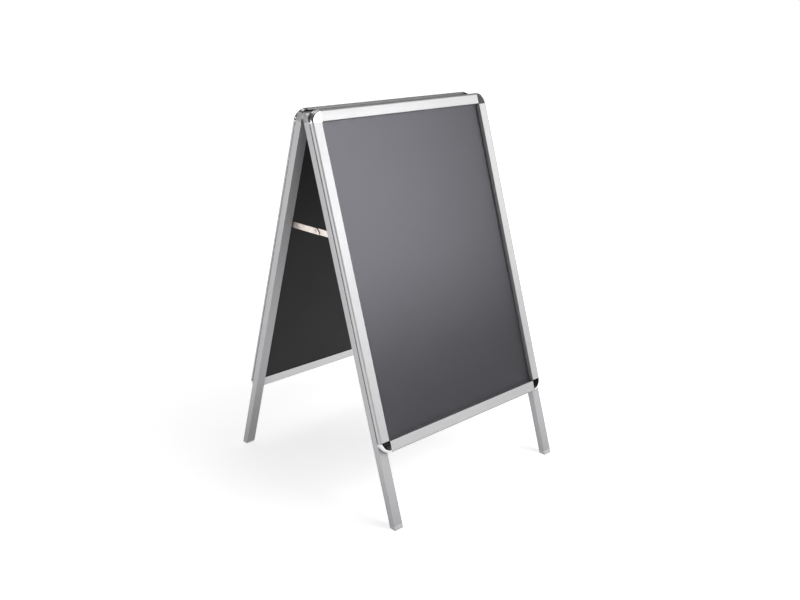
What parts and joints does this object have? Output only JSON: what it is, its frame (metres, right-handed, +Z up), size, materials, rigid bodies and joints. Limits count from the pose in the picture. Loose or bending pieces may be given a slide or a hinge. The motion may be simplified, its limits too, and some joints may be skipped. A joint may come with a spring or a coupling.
{
  "type": "folding sandwich board",
  "caption": "Folding aluminium sandwich board: a snap poster frame on each face, rounded chrome corners, tube legs, folding side stays and top hinges.",
  "frame": {"origin": "on the floor, under the middle of the standing board", "axes": "+Z up, +X along the hinge to the object's right, front board towards -Y"},
  "size_m": [0.638, 0.6868, 1.0376],
  "materials": {
    "cover_aluminium": "satin anodised",
    "base_aluminium": "satin anodised",
    "leg_aluminium": "satin anodised",
    "chrome_corner": "polished",
    "panel_plastic": "matt",
    "poster_sheet": "anti-glare",
    "foot_plastic": "matt",
    "hinge_metal": "satin",
    "stay_steel": "zinc plated",
    "rivet_steel": "zinc plated",
    "spring_steel": "blued",
    "bracket_steel": "zinc plated",
    "screw_steel": "zinc plated"
  },
  "bodies": {
    "front_board": {"front_base_top": "base_aluminium", "front_base_bottom": "base_aluminium", "front_base_left": "base_aluminium", "front_base_right": "base_aluminium", "front_corner_cap_top_left": "chrome_corner", "front_corner_cap_top_right": "chrome_corner", "front_corner_cap_bottom_left": "chrome_corner", "front_corner_cap_bottom_right": "chrome_corner", "front_back_panel": "panel_plastic", "front_cover_sheet": "poster_sheet", "front_leg_left": "leg_aluminium", "front_foot_left": "foot_plastic", "front_hinge_leaf_left": "hinge_metal", "front_leg_right": "leg_aluminium", "front_foot_right": "foot_plastic", "front_hinge_leaf_right": "hinge_metal", "front_stay_rivets": "rivet_steel", "front_corner_brackets": "bracket_steel", "front_cover_springs": "spring_steel", "front_frame_screws": "screw_steel", "hinge_pins": "screw_steel"},
    "rear_board": {"rear_base_top": "base_aluminium", "rear_base_bottom": "base_aluminium", "rear_base_left": "base_aluminium", "rear_base_right": "base_aluminium", "rear_corner_cap_top_left": "chrome_corner", "rear_corner_cap_top_right": "chrome_corner", "rear_corner_cap_bottom_left": "chrome_corner", "rear_corner_cap_bottom_right": "chrome_corner", "rear_back_panel": "panel_plastic", "rear_cover_sheet": "poster_sheet", "rear_leg_left": "leg_aluminium", "rear_foot_left": "foot_plastic", "rear_hinge_leaf_left": "hinge_metal", "rear_leg_right": "leg_aluminium", "rear_foot_right": "foot_plastic", "rear_hinge_leaf_right": "hinge_metal", "rear_stay_rivets": "rivet_steel", "rear_corner_brackets": "bracket_steel", "rear_cover_springs": "spring_steel", "rear_frame_screws": "screw_steel"},
    "front_cover_top": {"front_snap_cover_top": "cover_aluminium"},
    "front_cover_bottom": {"front_snap_cover_bottom": "cover_aluminium"},
    "front_cover_left": {"front_snap_cover_left": "cover_aluminium"},
    "front_cover_right": {"front_snap_cover_right": "cover_aluminium"},
    "rear_cover_top": {"rear_snap_cover_top": "cover_aluminium"},
    "rear_cover_bottom": {"rear_snap_cover_bottom": "cover_aluminium"},
    "rear_cover_left": {"rear_snap_cover_left": "cover_aluminium"},
    "rear_cover_right": {"rear_snap_cover_right": "cover_aluminium"},
    "front_stay_left": {"front_stay_link_left": "stay_steel", "front_middle_rivet_left": "rivet_steel"},
    "front_stay_right": {"front_stay_link_right": "stay_steel", "front_middle_rivet_right": "rivet_steel"},
    "rear_stay_left": {"rear_stay_link_left": "stay_steel", "rear_middle_rivet_left": "rivet_steel"},
    "rear_stay_right": {"rear_stay_link_right": "stay_steel", "rear_middle_rivet_right": "rivet_steel"}
  },
  "joints": [
    {"name": "fold", "type": "hinge", "parent": "front_board", "child": "rear_board", "pos_m": [0, 0, 1.01922], "axis": [-1, 0, 0], "range_deg": [0, 35]},
    {"name": "front_cover_top_flip", "type": "hinge", "parent": "front_board", "child": "front_cover_top", "pos_m": [0, -0.02275, 1.03552], "axis": [-1, 0, 0], "range_deg": [0, 90]},
    {"name": "front_cover_bottom_flip", "type": "hinge", "parent": "front_board", "child": "front_cover_bottom", "pos_m": [0, -0.2881, 0.19396], "axis": [1, 0, 0], "range_deg": [0, 90]},
    {"name": "front_cover_left_flip", "type": "hinge", "parent": "front_board", "child": "front_cover_left", "pos_m": [-0.3177, -0.15542, 0.61474], "axis": [0, -0.3007, -0.9537], "range_deg": [0, 90]},
    {"name": "front_cover_right_flip", "type": "hinge", "parent": "front_board", "child": "front_cover_right", "pos_m": [0.3177, -0.15542, 0.61474], "axis": [0, 0.3007, 0.9537], "range_deg": [0, 90]},
    {"name": "rear_cover_top_flip", "type": "hinge", "parent": "rear_board", "child": "rear_cover_top", "pos_m": [0, 0.02275, 1.03552], "axis": [1, 0, 0], "range_deg": [0, 90]},
    {"name": "rear_cover_bottom_flip", "type": "hinge", "parent": "rear_board", "child": "rear_cover_bottom", "pos_m": [0, 0.2881, 0.19396], "axis": [-1, 0, 0], "range_deg": [0, 90]},
    {"name": "rear_cover_left_flip", "type": "hinge", "parent": "rear_board", "child": "rear_cover_left", "pos_m": [-0.3177, 0.15542, 0.61474], "axis": [0, -0.3007, 0.9537], "range_deg": [0, 90]},
    {"name": "rear_cover_right_flip", "type": "hinge", "parent": "rear_board", "child": "rear_cover_right", "pos_m": [0.3177, 0.15542, 0.61474], "axis": [0, 0.3007, -0.9537], "range_deg": [0, 90]},
    {"name": "front_stay_left_turn", "type": "hinge", "parent": "front_board", "child": "front_stay_left", "pos_m": [-0.285, -0.10461, 0.72402], "axis": [1, 0, 0], "range_deg": [0, 66.46]},
    {"name": "front_stay_right_turn", "type": "hinge", "parent": "front_board", "child": "front_stay_right", "pos_m": [0.285, -0.10461, 0.72402], "axis": [1, 0, 0], "range_deg": [0, 66.46]},
    {"name": "rear_stay_left_turn", "type": "hinge", "parent": "rear_board", "child": "rear_stay_left", "pos_m": [-0.285, 0.10461, 0.72402], "axis": [-1, 0, 0], "range_deg": [0, 66.46]},
    {"name": "rear_stay_right_turn", "type": "hinge", "parent": "rear_board", "child": "rear_stay_right", "pos_m": [0.285, 0.10461, 0.72402], "axis": [-1, 0, 0], "range_deg": [0, 66.46]}
  ],
  "couplings": [
    {"joint": "front_stay_left_turn", "follows": "fold", "ratio": 1.899},
    {"joint": "front_stay_right_turn", "follows": "fold", "ratio": 1.899},
    {"joint": "rear_stay_left_turn", "follows": "fold", "ratio": 1.899},
    {"joint": "rear_stay_right_turn", "follows": "fold", "ratio": 1.899}
  ]
}
